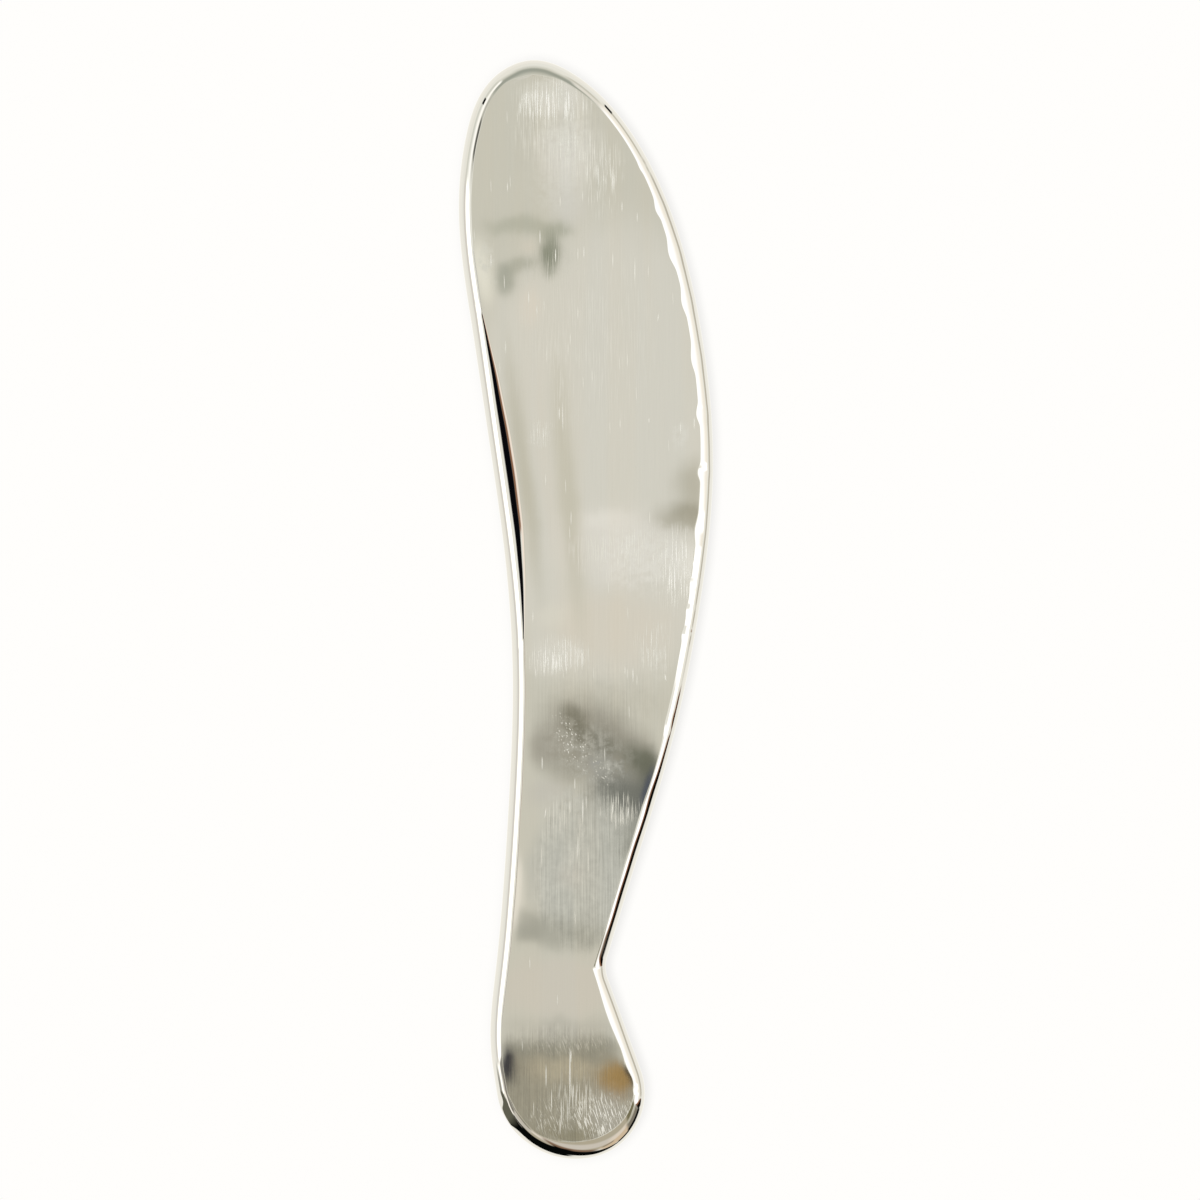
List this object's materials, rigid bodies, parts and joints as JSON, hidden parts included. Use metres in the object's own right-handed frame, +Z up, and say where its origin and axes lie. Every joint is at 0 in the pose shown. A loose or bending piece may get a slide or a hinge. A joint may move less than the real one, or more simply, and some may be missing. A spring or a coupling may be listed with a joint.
{
  "type": "gua sha scraping plate",
  "caption": "Crescent-shaped flat steel massage plate with a broad rounded tip, a notched neck, a flared round tail, and a rounded rim ground all round.",
  "frame": {"origin": "centre of the bounding box in plan, on the surface that the plate lies on", "axes": "+Y from the round tail to the broad tip, +X from the concave edge to the convex edge, +Z up out of the upper face"},
  "size_m": [0.0418, 0.18, 0.004],
  "materials": {
    "polished_steel": "hand-polished stainless steel, near mirror bright, with fine lengthwise scratches and a faint haze"
  },
  "bodies": {
    "root": {"scraper_plate": "polished_steel"}
  },
  "joints": []
}
